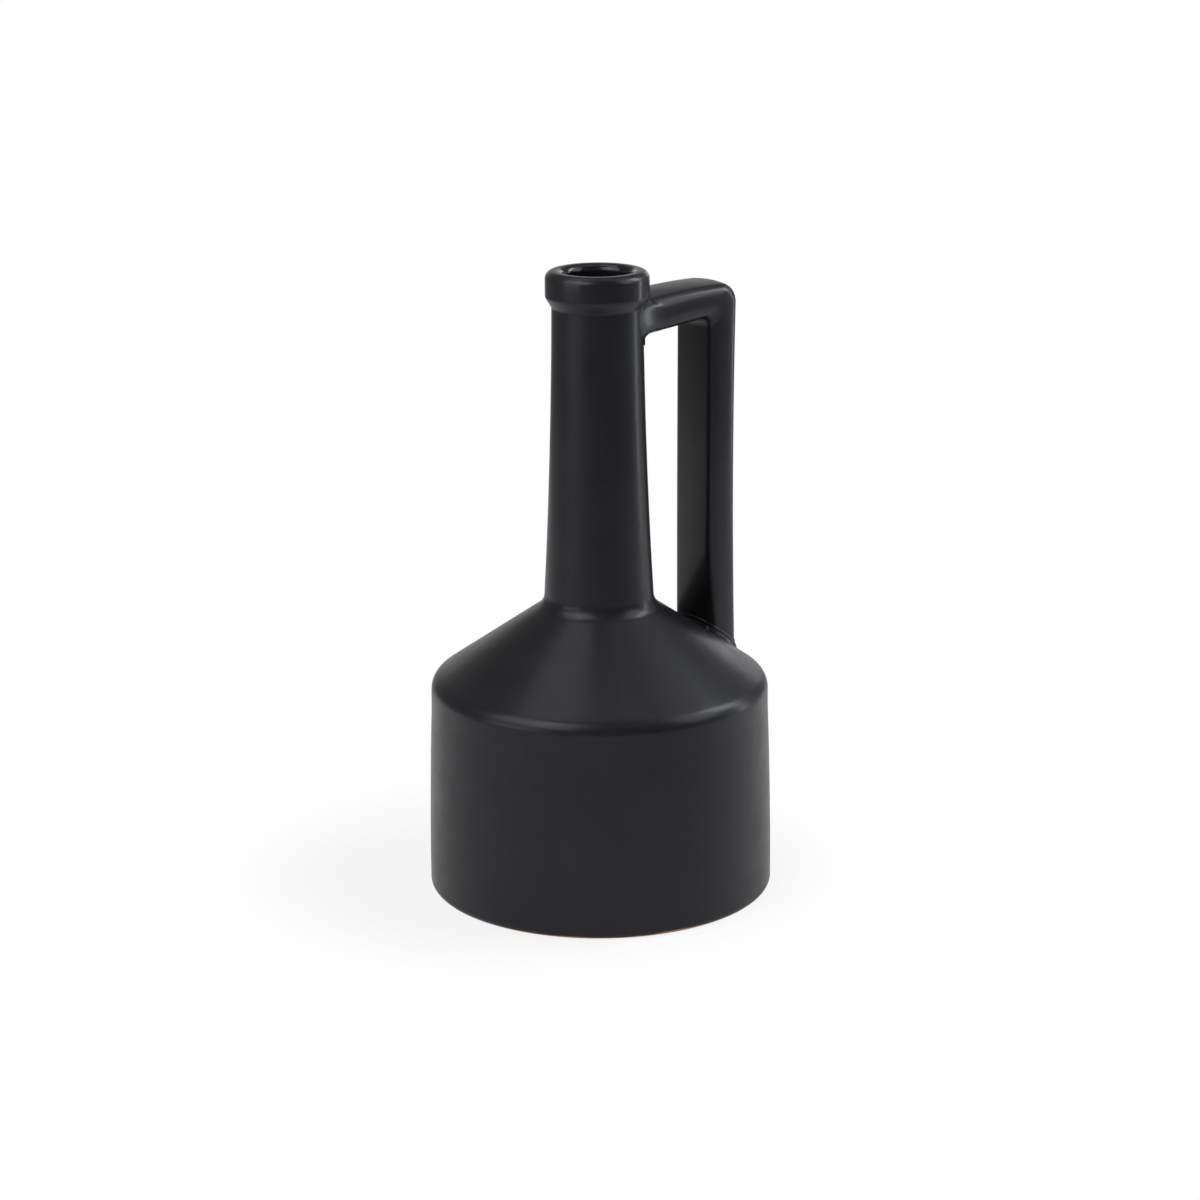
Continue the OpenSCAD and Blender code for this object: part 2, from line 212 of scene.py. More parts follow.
def outer_line():
    """The whole outside, from the foot's ring up to the straight bore of the mouth."""
    foot = (wall_r(FOOT_EDGE_R), 0)
    wall = [(wall_r(z), z) for z in np.arange(FOOT_EDGE_R + LINE_STEP, SEAM_Z, LINE_STEP)]
    neck_levels = np.arange(NECK_Z + 2 * NECK_BLEND_R, NECK_TOP_Z - FLARE_FOOT_R, LINE_STEP)
    neck = [(neck_r(z), z) for z in neck_levels]
    shoulder_edge = (BODY_R, BODY_H)
    neck_foot = (NECK_FOOT_R, NECK_Z)
    neck_top = (NECK_TOP_R, NECK_TOP_Z)
    flare_top = (COLLAR_R, FLARE_TOP_Z)
    rim_out = (COLLAR_R, RIM_Z)
    rim_in = (MOUTH_R, RIM_Z)
    return filled(np.vstack([
        arc((foot[0] - FOOT_RING_W, 0), foot, (foot[0], FLOOR_T), FOOT_EDGE_R),
        wall,
        arc((BODY_R, SEAM_Z), shoulder_edge, neck_foot, SHOULDER_EDGE_R),
        arc(shoulder_edge, neck_foot, neck[0], NECK_BLEND_R),
        neck,
        arc(neck[-1], neck_top, flare_top, FLARE_FOOT_R),
        arc(neck_top, flare_top, rim_out, FLARE_TOP_R),
        arc(flare_top, rim_out, rim_in, LIP_OUT_R),
        arc(rim_out, rim_in, (MOUTH_R, NECK_TOP_Z), LIP_IN_R),
        [(MOUTH_R, NECK_TOP_Z + SLIP_T + STEP_H)],
    ]))


OUTSIDE = outer_line()
LIP_TOP = int(np.argmax(OUTSIDE[:, 1]))


def outer_point(z):
    """Place on the outside at a height, below the lip."""
    return np.array([np.interp(z, OUTSIDE[:LIP_TOP, 1], OUTSIDE[:LIP_TOP, 0]), z])


def outer_stretch(low, high):
    """The outside between two heights, both ends included."""
    line = OUTSIDE[:LIP_TOP]
    heights = line[:, 1]
    between = line[(heights > low + LEVEL_GAP) & (heights < high - LEVEL_GAP)]
    return np.vstack([outer_point(low), between, outer_point(high)])


# Places of the joints
FLOOR_TONGUE_R = wall_r(FLOOR_T) - WALL_T - SLIP_T
INNER_R = BODY_R - WALL_T
INNER_CORNER_Z = under_z(INNER_R)
SEAM_MID_R = BODY_R - WALL_T / 2
BORE_FOOT_R = NECK_FOOT_R - NECK_WALL_T
BORE_TOP_R = MOUTH_R + GLAZE_T
NECK_MID_R = (NECK_FOOT_R + BORE_FOOT_R) / 2
SEAT_HOLE_R = NECK_MID_R + SLIP_T
COLLAR_MID_R = (NECK_TOP_R + BORE_TOP_R) / 2
NECK_BLEND_TOP_Z = NECK_Z + NECK_BLEND_R / 2


def base_line():
    edge = wall_r(FOOT_EDGE_R)
    ring_in = edge - FOOT_EDGE_R - FOOT_RING_W
    under = [(0, FOOT_RECESS), (ring_in - FOOT_RECESS, FOOT_RECESS), (ring_in, 0)]
    ledge = [(FLOOR_TONGUE_R, LEDGE_Z), (FLOOR_TONGUE_R, FLOOR_T), (0, FLOOR_T)]
    return [under, outer_stretch(0, LEDGE_Z), ledge]


def base_lute_line():
    high = LEDGE_Z + SLIP_T
    inner = FLOOR_TONGUE_R + SLIP_T
    return [outer_stretch(LEDGE_Z, high), [(inner, high), (inner, FLOOR_T)],
            [(FLOOR_TONGUE_R, FLOOR_T), (FLOOR_TONGUE_R, LEDGE_Z)]]


def body_wall_line():
    low = LEDGE_Z + SLIP_T
    levels = np.arange(SEAM_Z + STEP_H, FLOOR_T, -2 * LINE_STEP)
    inside = [(wall_r(z) - WALL_T, z) for z in levels]
    return [outer_stretch(low, SEAM_Z), [(SEAM_MID_R, SEAM_Z), (SEAM_MID_R, SEAM_Z + STEP_H)],
            inside, [(wall_r(FLOOR_T) - WALL_T, low)]]


def stepped_lute_line(mid_r, in_r, z):
    """The slip in a joint whose inner half lies one step higher than its outer half."""
    high = z + SLIP_T
    return [outer_stretch(z, high), [(mid_r + SLIP_T, high), (mid_r + SLIP_T, high + STEP_H)],
            [(in_r, high + STEP_H), (in_r, z + STEP_H), (mid_r, z + STEP_H), (mid_r, z)]]


def shoulder_line():
    low = SEAM_Z + SLIP_T
    mid = SEAM_MID_R + SLIP_T
    return [outer_stretch(low, NECK_SEAT_Z), [(SEAT_HOLE_R, NECK_SEAT_Z)],
            [(SEAT_HOLE_R, under_z(SEAT_HOLE_R)), (INNER_R, INNER_CORNER_Z)],
            [(INNER_R, low + STEP_H), (mid, low + STEP_H), (mid, low)]]


def neck_lute_line():
    seat = NECK_SEAT_Z + SLIP_T
    return [outer_stretch(NECK_SEAT_Z, NECK_BLEND_TOP_Z),
            [(neck_r(seat), seat), (NECK_MID_R, seat)],
            [(NECK_MID_R, under_z(NECK_MID_R)), (SEAT_HOLE_R, under_z(SEAT_HOLE_R))],
            [(SEAT_HOLE_R, NECK_SEAT_Z)]]


def neck_line():
    seat = NECK_SEAT_Z + SLIP_T
    return [[(NECK_MID_R, seat), (neck_r(seat), seat)], outer_stretch(NECK_BLEND_TOP_Z, NECK_TOP_Z),
            [(COLLAR_MID_R, NECK_TOP_Z), (COLLAR_MID_R, NECK_TOP_Z + STEP_H)],
            [(BORE_TOP_R, NECK_TOP_Z + STEP_H), (BORE_FOOT_R, under_z(BORE_FOOT_R))],
            [(NECK_MID_R, under_z(NECK_MID_R))]]


def collar_line():
    low = NECK_TOP_Z + SLIP_T
    mid = COLLAR_MID_R + SLIP_T
    return [outer_stretch(low, RIM_Z - LIP_OUT_R), OUTSIDE[OUTSIDE[:, 1] > RIM_Z - LIP_OUT_R],
            [(MOUTH_R, low + STEP_H), (mid, low + STEP_H), (mid, low)]]


def inside_line(depth):
    """From the middle of the floor up to the collar, at a depth from the clay's inner face."""
    top = NECK_TOP_Z + STEP_H + SLIP_T
    wall_top = under_z(INNER_R - depth, depth)
    levels = np.arange(FLOOR_T + depth, wall_top, LINE_STEP)
    wall = [(wall_r(z) - WALL_T - depth, z) for z in levels]
    neck_foot = (BORE_FOOT_R - depth, under_z(BORE_FOOT_R - depth, depth))
    return np.array([(0, FLOOR_T + depth), *wall, (INNER_R - depth, wall_top), neck_foot,
                     (BORE_TOP_R - depth, top)])


def liner_line():
    return [inside_line(0), inside_line(GLAZE_T)[::-1]]


# Meshes, with the depth and the width of the hand-made unevenness
WANDER = 0.07
WANDER_SIZE = 34


def drawn_in(x, y, z):
    """How far the hand-made surface lies inside the true one at a place, in millimetres."""
    return WANDER * (0.5 + 0.5 * noise.noise(Vector((x, y, z)) / WANDER_SIZE))


def new_piece(name, points, faces, material, slot, *nodes):
    """A closed mesh that rides on the vase and stands for its CAD nodes."""
    mesh = bpy.data.meshes.new(name)
    mesh.from_pydata([tuple(p * MM) for p in points], [], faces)
    mesh.validate()
    mesh.shade_smooth()
    mesh.set_sharp_from_angle(angle=math.radians(SHARP_DEG))
    mesh.materials.append(material)
    piece = bpy.data.objects.new(name, mesh)
    bpy.context.scene.collection.objects.link(piece)
    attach(piece, "root")
    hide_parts(*nodes)


def without_repeats(line):
    keep = [i for i, p in enumerate(line) if np.linalg.norm(p - line[i - 1]) > POINT_GAP]
    return line[keep]


def turned(name, parts, material, slot, node):
    """A piece turned from an outline, which is closed either on the axis or on itself."""
    line = without_repeats(np.vstack(parts).astype(float))
    points, rings = [], []
    for r, z in line:
        if r < AXIS_GAP:
            rings.append([len(points)] * TURNS)
            points.append(np.array([0, 0, z]))
            continue
        rings.append(list(range(len(points), len(points) + TURNS)))
        for i in range(TURNS):
            turn = 2 * math.pi * i / TURNS
            c, s = math.cos(turn), math.sin(turn)
            shrunk = r - drawn_in(r * c, r * s, z)
            points.append(np.array([shrunk * c, shrunk * s, z]))
    ahead = rings[1:] if line[0][0] < AXIS_GAP else rings[1:] + rings[:1]
    faces = []
    for a, b in zip(rings, ahead):
        for i in range(TURNS):
            j = (i + 1) % TURNS
            corners = (a[i], a[j], b[j], b[i])
            # At the axis two corners are one, so the face is a triangle
            faces.append(tuple(dict.fromkeys(corners)))
    new_piece(name, points, faces, material, slot, node)


# The strap handle, swept from the neck over the corner to the shoulder
EDGE_STEPS = 8
WIDE_STEPS = 20
THICK_STEPS = 8
BLEND_STEPS = 14
ARM_STEPS = 14
CORNER_STEPS = 16
LEG_STEPS = 48
CAP_STEPS = 8

LEG_OUT_X = BODY_R - LEG_INSET
LEG_IN_X = LEG_OUT_X - LEG_T
ARM_TOP_Z = RIM_Z - ARM_DROP
ARM_LOW_Z = ARM_TOP_Z - ARM_T
ARM_MID_Z = (ARM_LOW_Z + ARM_TOP_Z - ARM_TAPER) / 2 - ARM_RISE
LEG_MID_X = (LEG_IN_X + LEG_OUT_X) / 2


def strap_section():
    """Angle of the face, place across and place through, for each point round the strap."""
    corners = [(1, 1), (-1, 1), (-1, -1), (1, -1)]
    rows = []
    for quarter, here in enumerate(corners):
        ahead = corners[(quarter + 1) % len(corners)]
        sides = WIDE_STEPS if quarter % 2 == 0 else THICK_STEPS
        rows += [(quarter + i / EDGE_STEPS, *here) for i in range(EDGE_STEPS + 1)]
        rows += [
            (quarter + 1, mix(here[0], ahead[0], i / sides), mix(here[1], ahead[1], i / sides))
            for i in range(1, sides)
        ]
    turns, kx, ky = np.array(rows, float).T
    angle = turns * math.pi / 2
    flat_across = mix(np.cos(angle), kx, 1 - 2 * STRAP_EDGE_R / STRAP_W)
    flat_through = mix(np.sin(angle), ky, 1 - 2 * STRAP_EDGE_R / ARM_T)
    across = flat_across * (STRAP_W / 2 - SIDE_CROWN * flat_through ** 2)
    through = 0.5 + flat_through * (0.5 - STRAP_CROWN / ARM_T * flat_across ** 2)
    return angle, across, through


ANGLE, ACROSS, THROUGH = strap_section()
SIDEWAYS = np.cos(ANGLE)
OUTWARD = np.sin(ANGLE)


def blended(u, side, corner, surface):
    """Place along a blend's curve: u is 0 on the surface and 1 on the strap's side."""
    return (1 - u) ** 2 * surface + 2 * u * (1 - u) * corner + u ** 2 * side


def on_neck(y, z):
    """Place along X of the neck's or collar's face, lifted by the handle's clearance."""
    return np.sqrt((profile_r(z) + HANDLE_GAP) ** 2 - y ** 2)


def on_shoulder(x, y, gap=HANDLE_GAP):
    """Height of the cone and of its rounded edge at a place, lifted by a gap."""
    r = np.hypot(x, y)
    middle_r = BODY_R - SHOULDER_EDGE_R
    middle_z = cone_z(middle_r) - SHOULDER_EDGE_R / math.cos(SLOPE)
    reach = SHOULDER_EDGE_R + gap
    edge = middle_z + np.sqrt(np.maximum(0, reach ** 2 - (r - middle_r) ** 2))
    return np.where(r > middle_r + reach * math.sin(SLOPE), edge, cone_z(r) + gap / math.cos(SLOPE))


ARM_BLEND = mix(np.where(OUTWARD > 0, TOP_BLEND, UNDER_BLEND), SIDE_BLEND, SIDEWAYS ** 2)
ARM_LEAD = SIDE_LEAD * SIDEWAYS ** 4
ARM_REACH = mix(1, ARM_REACH_SHARE, SIDEWAYS ** 2) * ARM_BLEND + SIDE_REACH * SIDEWAYS ** 4
CORNER_X = mix(LEG_IN_X - CORNER_IN_R, LEG_OUT_X - CORNER_OUT_R, THROUGH)
LEG_FOOT_X = mix(LEG_IN_X - LEG_SPREAD, LEG_OUT_X + LEG_SPREAD, THROUGH)


def arm_z(x):
    rise = mix(ARM_RISE + ARM_TAPER, ARM_RISE, THROUGH)
    return mix(ARM_LOW_Z, ARM_TOP_Z, THROUGH) - rise * (CORNER_X - x) / (CORNER_X - NECK_TOP_R)


def arm_end(u):
    """Loop of the handle's blend into the neck: u is 0 on the neck and 1 on the strap."""
    z = arm_z(NECK_TOP_R)
    root = on_neck(ACROSS, z)
    foot = on_neck(ACROSS + ARM_REACH * SIDEWAYS, z + ARM_REACH * OUTWARD)
    x = blended(u, root + ARM_BLEND + ARM_LEAD, root + ARM_LEAD, foot)
    out = blended(u, 0, 0, ARM_REACH)
    return np.column_stack([x, ACROSS + out * SIDEWAYS, z + out * OUTWARD])


def arm(k):
    start = arm_end(1)
    arch = ARM_ARCH * THROUGH * bowed(k)
    z = mix(start[:, 2], arm_z(CORNER_X), k) + arch
    return np.column_stack([mix(start[:, 0], CORNER_X, k), ACROSS, z])


def corner(turn):
    c, s = math.cos(turn) - 1, math.sin(turn) - 1
    inner = np.array([LEG_IN_X + CORNER_IN_R * s, ARM_LOW_Z + CORNER_IN_R * c])
    outer = np.array([LEG_OUT_X + CORNER_OUT_R * s, ARM_TOP_Z + CORNER_OUT_R * c])
    at = mix(inner[:, None], outer[:, None], THROUGH)
    return np.column_stack([at[0], ACROSS, at[1]])


def leg_end(u):
    """Loop of the handle's blend into the shoulder: u is 0 on the shoulder and 1 on the strap."""
    root = on_shoulder(LEG_FOOT_X, ACROSS)
    foot = on_shoulder(LEG_FOOT_X + LEG_REACH * OUTWARD, ACROSS + LEG_REACH * SIDEWAYS)
    z = blended(u, root + LEG_BLEND, root, foot)
    out = blended(u, 0, 0, LEG_REACH)
    return np.column_stack([LEG_FOOT_X + out * OUTWARD, ACROSS + out * SIDEWAYS, z])


def leg(k):
    straight = mix(corner(math.pi / 2), leg_end(1), k)
    hollow = LEG_WAIST * THROUGH * bowed(k)
    return straight - hollow[:, None] * np.array([1, 0, 0])


def neck_cap(share):
    """Loop on the neck, at a share of the way from its middle to the handle's edge there."""
    rim = arm_end(0)
    y = rim[:, 1] * share
    z = mix(ARM_MID_Z, rim[:, 2], share)
    return np.column_stack([on_neck(y, z), y, z])


def shoulder_cap(share):
    """Loop on the shoulder, at a share of the way from its middle to the handle's edge there."""
    rim = leg_end(0)
    x = mix(LEG_MID_X, rim[:, 0], share)
    y = rim[:, 1] * share
    return np.column_stack([x, y, on_shoulder(x, y)])


def skinned(name, first, loops, last, material, slot, node):
    """A closed skin through a row of loops, with a point before the first and after the last."""
    count = len(loops[0])
    points = np.vstack([[first], *loops, [last]])
    end = len(points) - 1
    faces = []
    for j in range(count):
        k = (j + 1) % count
        faces.append((0, 1 + j, 1 + k))
        faces.append((end, end - count + k, end - count + j))
        for i in range(len(loops) - 1):
            a, b = 1 + i * count, 1 + (i + 1) * count
            faces.append((a + j, b + j, b + k, a + k))
    new_piece(name, points, faces, material, slot, node)


# The skirt of slip round the leg's foot: places out from the strap and up from the shoulder
SKIRT = ((-0.8, -0.5), (1.5, -0.5), (1.5, 0.1), (1.15, 0.8), (0.95, 1.5), (0.8, 1.9), (0.45, 2.1),
         (0.35, 3.1), (0.27, 3.7), (0.05, 4.0), (-0.8, 4.0))


def foot_skirt(material):
    loops = []
    for out, up in SKIRT:
        x = LEG_FOOT_X + out * OUTWARD
        y = ACROSS + out * SIDEWAYS
        loops.append(np.column_stack([x, y, on_shoulder(x, y, gap=0) + up]))
    count = len(ACROSS)
    faces = []
    for i in range(len(loops)):
        a, b = i * count, (i + 1) % len(loops) * count
        for j in range(count):
            k = (j + 1) % count
            faces.append((a + j, a + k, b + k, b + j))
    new_piece("foot_skirt", np.vstack(loops), faces, material, "slip", "handle_foot_lute")


def cap_shares():
    """Shares of the way out from a cap's middle, closer together towards its edge."""
    return [math.sin(math.pi / 2 * i / CAP_STEPS) for i in range(1, CAP_STEPS)]


def strap_handle(material):
    shares = cap_shares()
    loops = [neck_cap(share) for share in shares]
    loops += [arm_end(i / BLEND_STEPS) for i in range(BLEND_STEPS + 1)]
    loops += [arm(i / ARM_STEPS) for i in range(1, ARM_STEPS + 1)]
    loops += [corner(math.pi / 2 * i / CORNER_STEPS) for i in range(1, CORNER_STEPS + 1)]
    loops += [leg(i / LEG_STEPS) for i in range(1, LEG_STEPS + 1)]
    loops += [leg_end(1 - i / BLEND_STEPS) for i in range(1, BLEND_STEPS + 1)]
    loops += [shoulder_cap(share) for share in reversed(shares)]
    first = (on_neck(0, ARM_MID_Z), 0, ARM_MID_Z)
    last = (LEG_MID_X, 0, on_shoulder(LEG_MID_X, 0))
    skinned("strap_handle", first, loops, last, material, "matte_glaze", "handle")


# Materials
def empty_material(name):
    material = bpy.data.materials.new(name)
    material.use_nodes = True
    nodes, links = material.node_tree.nodes, material.node_tree.links
    nodes.clear()
    return material, nodes, links


def shaded_material(name):
    material, nodes, links = empty_material(name)
    output = nodes.new("ShaderNodeOutputMaterial")
    shader = nodes.new("ShaderNodeBsdfPrincipled")
    links.new(shader.outputs["BSDF"], output.inputs["Surface"])
    return material, nodes, links, shader


def object_place(nodes):
    return nodes.new("ShaderNodeTexCoord").outputs["Object"]


def add_noise(nodes, links, place, scale, detail=2, roughness=0.5):
    made = nodes.new("ShaderNodeTexNoise")
    made.inputs["Scale"].default_value = scale
    made.inputs["Detail"].default_value = detail
    made.inputs["Roughness"].default_value = roughness
    links.new(place, made.inputs["Vector"])
    return made.outputs["Fac"]


def ranged(nodes, links, value, span, ends=(0, 1), kind="SMOOTHSTEP"):
    """The value's way through a span, carried over to the two end values and held there."""
    made = nodes.new("ShaderNodeMapRange")
    made.interpolation_type = kind
    links.new(value, made.inputs["Value"])
    sockets = ("From Min", "From Max", "To Min", "To Max")
    for socket, number in zip(sockets, (*span, *ends)):
        made.inputs[socket].default_value = number
    return made.outputs["Result"]


def mixed_colour(nodes, links, share, first, second):
    """A mix of two colours, each a tuple or an output of another node."""
    made = nodes.new("ShaderNodeMix")
    made.data_type = "RGBA"
    links.new(share, made.inputs["Factor"])
    for socket, colour in ((made.inputs["A"], first), (made.inputs["B"], second)):
        if isinstance(colour, tuple):
            socket.default_value = (*colour, 1)
        else:
            links.new(colour, socket)
    return made.outputs["Result"]


def math_node(nodes, links, operation, first, second=0):
    """One operation on two values, each a number or an output of another node."""
    made = nodes.new("ShaderNodeMath")
    made.operation = operation
    for socket, value in zip(made.inputs, (first, second)):
        if isinstance(value, (int, float)):
            socket.default_value = value
        else:
            links.new(value, socket)
    return made.outputs["Value"]


def bump(nodes, links, height, depth, below=None):
    """A normal bent by a height, on top of the normal of the bump below."""
    made = nodes.new("ShaderNodeBump")
    made.inputs["Strength"].default_value = 1.0
    made.inputs["Distance"].default_value = depth
    links.new(height, made.inputs["Height"])
    if below is not None:
        links.new(below, made.inputs["Normal"])
    return made.outputs["Normal"]


# The middle of a noise, which carries nearly all of it
NOISE_SPAN = (0.3, 0.7)

# The black glaze: its two colours, its sheen, and the crisper sheen of the collar and handle
GLAZE_DARK = (0.0067, 0.0067, 0.0079)
GLAZE_PALE = (0.0091, 0.0091, 0.0108)
GLAZE_ROUGH = 0.41
GLAZE_ROUGH_SWAY = 0.03
GLAZE_SPECULAR = 0.2
HANDLE_SPECULAR = 0.25
GLAZE_TINT = (0.91, 0.92, 1.0, 1)
GLAZE_COAT = 0.2
GLAZE_COAT_ROUGH = 0.21
CRISP_COAT = 0.27
CRISP_COAT_ROUGH = 0.16

# Its patterns: how many go to a metre, and how deep the bumps are in metres
CLOUD_SCALE = 38
CLOUD_SPAN = (0.35, 0.65)
SHEEN_SCALE = 95
SKIN_SCALE = 420
SKIN_DEPTH = 0.00002
PIT_SCALE = 150
PIT_SPAN = (0.02, 0.055)
PIT_DEPTH = 0.00006


def glaze_surface(nodes, links, shader, place):
    """Satin black glaze: cloudy colour and sheen, a soft skin and tiny pinholes."""
    cloud = add_noise(nodes, links, place, CLOUD_SCALE, detail=3)
    cloudy = ranged(nodes, links, cloud, CLOUD_SPAN)
    colour = mixed_colour(nodes, links, cloudy, GLAZE_DARK, GLAZE_PALE)
    sheen = add_noise(nodes, links, place, SHEEN_SCALE, detail=4)
    rough_ends = (GLAZE_ROUGH - GLAZE_ROUGH_SWAY, GLAZE_ROUGH + GLAZE_ROUGH_SWAY)
    rough = ranged(nodes, links, sheen, NOISE_SPAN, rough_ends)
    skin = add_noise(nodes, links, place, SKIN_SCALE, detail=3)
    cells = nodes.new("ShaderNodeTexVoronoi")
    cells.inputs["Scale"].default_value = PIT_SCALE
    links.new(place, cells.inputs["Vector"])
    pits = ranged(nodes, links, cells.outputs["Distance"], PIT_SPAN)
    normal = bump(nodes, links, skin, SKIN_DEPTH)
    normal = bump(nodes, links, pits, PIT_DEPTH, normal)
    links.new(colour, shader.inputs["Base Color"])
    links.new(rough, shader.inputs["Roughness"])
    links.new(normal, shader.inputs["Normal"])
    shader.inputs["Specular IOR Level"].default_value = GLAZE_SPECULAR
    shader.inputs["Specular Tint"].default_value = GLAZE_TINT
    shader.inputs["Coat Weight"].default_value = GLAZE_COAT
    shader.inputs["Coat Roughness"].default_value = GLAZE_COAT_ROUGH
    return colour, rough, normal


def plain_glaze(name):
    """The black glaze and nothing else."""
    material, nodes, links, shader = shaded_material(name)
    glaze_surface(nodes, links, shader, object_place(nodes))
    return material


def crisp_coat(shader):
    """The crisper sheen of the collar and the handle."""
    shader.inputs["Coat Weight"].default_value = CRISP_COAT
    shader.inputs["Coat Roughness"].default_value = CRISP_COAT_ROUGH


def handle_glaze():
    """The same glaze with a little more sheen."""
    material, nodes, links, shader = shaded_material("handle_glaze")
    glaze_surface(nodes, links, shader, object_place(nodes))
    shader.inputs["Specular IOR Level"].default_value = HANDLE_SPECULAR
    crisp_coat(shader)
    return material


# Where the lip turns from glossy to satin, out from the mouth's bore in millimetres
LIP_SATIN = (1.2, 3.2)
LIP_ROUGH = 0.16


def collar_glaze():
    """The same glaze, turning glossy over the lip into the mouth."""
    material, nodes, links, shader = shaded_material("collar_glaze")
    place = object_place(nodes)
    _, rough, _ = glaze_surface(nodes, links, shader, place)
    crisp_coat(shader)
    split = nodes.new("ShaderNodeSeparateXYZ")
    links.new(place, split.inputs[0])
    square = math_node(nodes, links, "ADD",
                       math_node(nodes, links, "POWER", split.outputs["X"], 2),
                       math_node(nodes, links, "POWER", split.outputs["Y"], 2))
    radius = math_node(nodes, links, "SQRT", square)
    satin = ranged(nodes, links, radius, [(MOUTH_R + out) * MM for out in LIP_SATIN])
    gloss = math_node(nodes, links, "MULTIPLY", satin, rough)
    links.new(math_node(nodes, links, "MAXIMUM", gloss, LIP_ROUGH), shader.inputs["Roughness"])
    return material


# The glossy glaze inside
LINER_DARK = (0.006, 0.006, 0.0065)
LINER_PALE = (0.011, 0.011, 0.012)
LINER_ROUGH = (0.15, 0.2)
LINER_CLOUD_SCALE = 60
LINER_SHEEN_SCALE = 150
LINER_WAVE_SCALE = 90
LINER_WAVE_DEPTH = 0.00015


def liner_material():
    material, nodes, links, shader = shaded_material("liner_glaze")
    place = object_place(nodes)
    cloud = add_noise(nodes, links, place, LINER_CLOUD_SCALE, detail=3)
    colour = mixed_colour(nodes, links, cloud, LINER_DARK, LINER_PALE)
    links.new(colour, shader.inputs["Base Color"])
    sheen = add_noise(nodes, links, place, LINER_SHEEN_SCALE, detail=3)
    rough = ranged(nodes, links, sheen, NOISE_SPAN, LINER_ROUGH)
    links.new(rough, shader.inputs["Roughness"])
    wave = add_noise(nodes, links, place, LINER_WAVE_SCALE)
    links.new(bump(nodes, links, wave, LINER_WAVE_DEPTH), shader.inputs["Normal"])
    return material


# The bare clay of the foot
CLAY_DARK = (0.36, 0.17, 0.07)
CLAY_PALE = (0.56, 0.32, 0.16)
CLAY_DULLER = 0.45
GRAIN_SCALE = 900
GRAIN_ROUGHNESS = 0.65
GRAIN_DEPTH = 0.00008

# The line where the glaze ends: its height, how much it sways and half its softness, millimetres
GLAZE_LINE = 1.0
GLAZE_LINE_SWAY = 0.7
GLAZE_LINE_EDGE = 0.1
GLAZE_LINE_SCALE = 30


def foot_material():
    """Bare clay under the foot, with the black glaze down to just above the table."""
    material, nodes, links, shader = shaded_material("foot_clay")
    place = object_place(nodes)
    colour, rough, normal = glaze_surface(nodes, links, shader, place)
    grain = add_noise(nodes, links, place, GRAIN_SCALE, detail=5, roughness=GRAIN_ROUGHNESS)
    clay = mixed_colour(nodes, links, grain, CLAY_DARK, CLAY_PALE)
    split = nodes.new("ShaderNodeSeparateXYZ")
    links.new(place, split.inputs[0])
    uneven = add_noise(nodes, links, place, GLAZE_LINE_SCALE, detail=3)
    sway_ends = (-GLAZE_LINE_SWAY * MM, GLAZE_LINE_SWAY * MM)
    sway = ranged(nodes, links, uneven, NOISE_SPAN, sway_ends, "LINEAR")
    height = math_node(nodes, links, "ADD", split.outputs["Z"], sway)
    edge = ((GLAZE_LINE - GLAZE_LINE_EDGE) * MM, (GLAZE_LINE + GLAZE_LINE_EDGE) * MM)
    glazed = ranged(nodes, links, height, edge)
    links.new(mixed_colour(nodes, links, glazed, clay, colour), shader.inputs["Base Color"])
    bare = math_node(nodes, links, "SUBTRACT", 1, glazed)
    dull = math_node(nodes, links, "MULTIPLY", bare, CLAY_DULLER)
    links.new(math_node(nodes, links, "ADD", rough, dull), shader.inputs["Roughness"])
    links.new(bump(nodes, links, grain, GRAIN_DEPTH, normal), shader.inputs["Normal"])
    return material


# The pieces
glaze = plain_glaze("matte_glaze")
slip = plain_glaze("fired_slip")
shoulder_lute_line = stepped_lute_line(SEAM_MID_R, INNER_R, SEAM_Z)
collar_lute_line = stepped_lute_line(COLLAR_MID_R, BORE_TOP_R, NECK_TOP_Z)
turned("foot_and_floor", base_line(), foot_material(), "bare_clay", "base_disc")
turned("base_joint", base_lute_line(), glaze, "slip", "base_lute")
turned("body", body_wall_line(), glaze, "matte_glaze", "body_wall")
turned("shoulder_joint", shoulder_lute_line, glaze, "slip", "shoulder_lute")
turned("shoulder_cone", shoulder_line(), glaze, "matte_glaze", "shoulder")
turned("neck_joint", neck_lute_line(), glaze, "slip", "neck_lute")
turned("neck_tube", neck_line(), glaze, "matte_glaze", "neck")
turned("collar_joint", collar_lute_line, glaze, "slip", "collar_lute")
turned("rolled_collar", collar_line(), collar_glaze(), "matte_glaze", "rim_collar")
turned("liner", liner_line(), liner_material(), "liner_glaze", "liner_glaze")
handle_finish = handle_glaze()
strap_handle(handle_finish)
foot_skirt(handle_finish)

# The slip at the arm's end keeps its solid, which is hidden between the arm and the neck
neck_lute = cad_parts["handle_neck_lute"]
neck_lute.data.materials.clear()
neck_lute.data.materials.append(slip)


# The camera, fitted to the photo's outline: the handle stands 39 degrees behind its right
HANDLE_TURN = math.radians(39)
CAMERA_DISTANCE = 1322.0
CAMERA_HEIGHT = 505.2
CAMERA_ASIDE = 0.41
CAMERA_PITCH = math.radians(15.803)
CAMERA_ROLL = math.radians(-0.338)
FRAME_PX = 1200
FOCAL_PX = 3092.7
SENSOR = 36.0

TO_PART = Matrix.Rotation(-HANDLE_TURN, 4, "Z")


def from_camera_side(right, away, up):
    """A place in metres given as the camera sees it, in the part's frame."""
    return TO_PART @ Vector((right, away, up))


